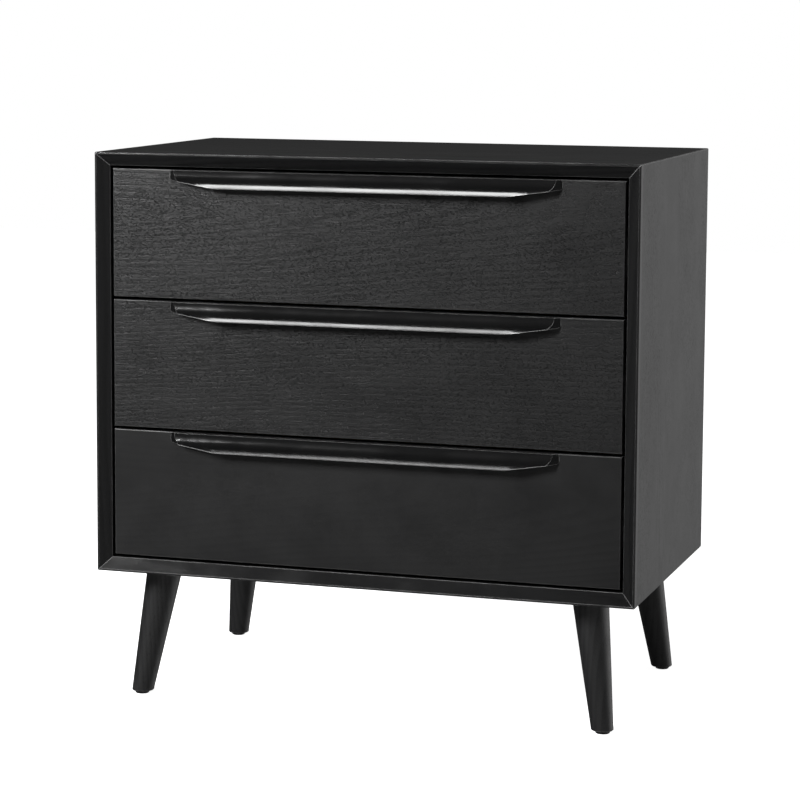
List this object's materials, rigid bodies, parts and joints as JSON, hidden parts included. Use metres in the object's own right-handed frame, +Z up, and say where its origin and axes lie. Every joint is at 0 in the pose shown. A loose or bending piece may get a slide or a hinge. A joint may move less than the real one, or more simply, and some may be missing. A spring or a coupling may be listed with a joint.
{
  "type": "nightstand with drawers",
  "caption": "Low black wooden chest with inset full-width drawers, long lip pulls, a mitred bevel-edged case and splayed tapered round legs.",
  "frame": {"origin": "centre of the whole object's footprint, on the floor", "axes": "+X to the nightstand's right seen from the front, drawers open towards -Y, +Z up"},
  "size_m": [0.66, 0.3868, 0.658],
  "materials": {
    "case_wood": "black lacquer over open-pored veneer, satin",
    "drawer_front_wood": "black lacquer over open-pored veneer, satin, grain across",
    "pull_wood": "black lacquer over solid wood, semi-gloss",
    "leg_wood": "black lacquer over turned solid wood, satin",
    "back_board": "black painted fibreboard, matt",
    "drawer_box_wood": "clear sealed solid wood, matt",
    "drawer_bottom_ply": "clear sealed plywood, matt",
    "slide_steel": "zinc plated",
    "zinc_screws": "zinc plated",
    "black_steel": "black powder coat",
    "glide_nylon": "moulded"
  },
  "bodies": {
    "case": {"top_panel": "case_wood", "bottom_panel": "case_wood", "left_side_panel": "case_wood", "right_side_panel": "case_wood", "back_panel": "back_board", "back_panel_screws": "zinc_screws", "mitre_splines": "drawer_box_wood", "front_left_leg": "leg_wood", "front_left_leg_plate": "black_steel", "front_right_leg": "leg_wood", "front_right_leg_plate": "black_steel", "rear_left_leg": "leg_wood", "rear_left_leg_plate": "black_steel", "rear_right_leg": "leg_wood", "rear_right_leg_plate": "black_steel", "foot_glides": "glide_nylon", "leg_hanger_bolts": "zinc_screws", "leg_plate_screws": "zinc_screws", "top_drawer_left_slide_cabinet_member": "slide_steel", "top_drawer_right_slide_cabinet_member": "slide_steel", "middle_drawer_left_slide_cabinet_member": "slide_steel", "middle_drawer_right_slide_cabinet_member": "slide_steel", "bottom_drawer_left_slide_cabinet_member": "slide_steel", "bottom_drawer_right_slide_cabinet_member": "slide_steel"},
    "top_drawer": {"top_drawer_front": "drawer_front_wood", "top_drawer_pull": "pull_wood", "top_drawer_box_front": "drawer_box_wood", "top_drawer_box_back": "drawer_box_wood", "top_drawer_box_left_side": "drawer_box_wood", "top_drawer_box_right_side": "drawer_box_wood", "top_drawer_box_bottom": "drawer_bottom_ply", "top_drawer_front_screws": "zinc_screws", "top_drawer_left_slide_drawer_member": "slide_steel", "top_drawer_right_slide_drawer_member": "slide_steel"},
    "top_drawer_slide_middles": {"top_drawer_left_slide_middle_member": "slide_steel", "top_drawer_right_slide_middle_member": "slide_steel"},
    "middle_drawer": {"middle_drawer_front": "drawer_front_wood", "middle_drawer_pull": "pull_wood", "middle_drawer_box_front": "drawer_box_wood", "middle_drawer_box_back": "drawer_box_wood", "middle_drawer_box_left_side": "drawer_box_wood", "middle_drawer_box_right_side": "drawer_box_wood", "middle_drawer_box_bottom": "drawer_bottom_ply", "middle_drawer_front_screws": "zinc_screws", "middle_drawer_left_slide_drawer_member": "slide_steel", "middle_drawer_right_slide_drawer_member": "slide_steel"},
    "middle_drawer_slide_middles": {"middle_drawer_left_slide_middle_member": "slide_steel", "middle_drawer_right_slide_middle_member": "slide_steel"},
    "bottom_drawer": {"bottom_drawer_front": "drawer_front_wood", "bottom_drawer_pull": "pull_wood", "bottom_drawer_box_front": "drawer_box_wood", "bottom_drawer_box_back": "drawer_box_wood", "bottom_drawer_box_left_side": "drawer_box_wood", "bottom_drawer_box_right_side": "drawer_box_wood", "bottom_drawer_box_bottom": "drawer_bottom_ply", "bottom_drawer_front_screws": "zinc_screws", "bottom_drawer_left_slide_drawer_member": "slide_steel", "bottom_drawer_right_slide_drawer_member": "slide_steel"},
    "bottom_drawer_slide_middles": {"bottom_drawer_left_slide_middle_member": "slide_steel", "bottom_drawer_right_slide_middle_member": "slide_steel"}
  },
  "joints": [
    {"name": "top_drawer_slide", "type": "slide", "parent": "case", "child": "top_drawer", "axis": [0, -1, 0], "range_m": [0, 0.3]},
    {"name": "top_drawer_middle_members_slide", "type": "slide", "parent": "case", "child": "top_drawer_slide_middles", "axis": [0, -1, 0], "range_m": [0, 0.15]},
    {"name": "middle_drawer_slide", "type": "slide", "parent": "case", "child": "middle_drawer", "axis": [0, -1, 0], "range_m": [0, 0.3]},
    {"name": "middle_drawer_middle_members_slide", "type": "slide", "parent": "case", "child": "middle_drawer_slide_middles", "axis": [0, -1, 0], "range_m": [0, 0.15]},
    {"name": "bottom_drawer_slide", "type": "slide", "parent": "case", "child": "bottom_drawer", "axis": [0, -1, 0], "range_m": [0, 0.3]},
    {"name": "bottom_drawer_middle_members_slide", "type": "slide", "parent": "case", "child": "bottom_drawer_slide_middles", "axis": [0, -1, 0], "range_m": [0, 0.15]}
  ],
  "couplings": [
    {"joint": "top_drawer_middle_members_slide", "follows": "top_drawer_slide", "ratio": 0.5},
    {"joint": "middle_drawer_middle_members_slide", "follows": "middle_drawer_slide", "ratio": 0.5},
    {"joint": "bottom_drawer_middle_members_slide", "follows": "bottom_drawer_slide", "ratio": 0.5}
  ]
}
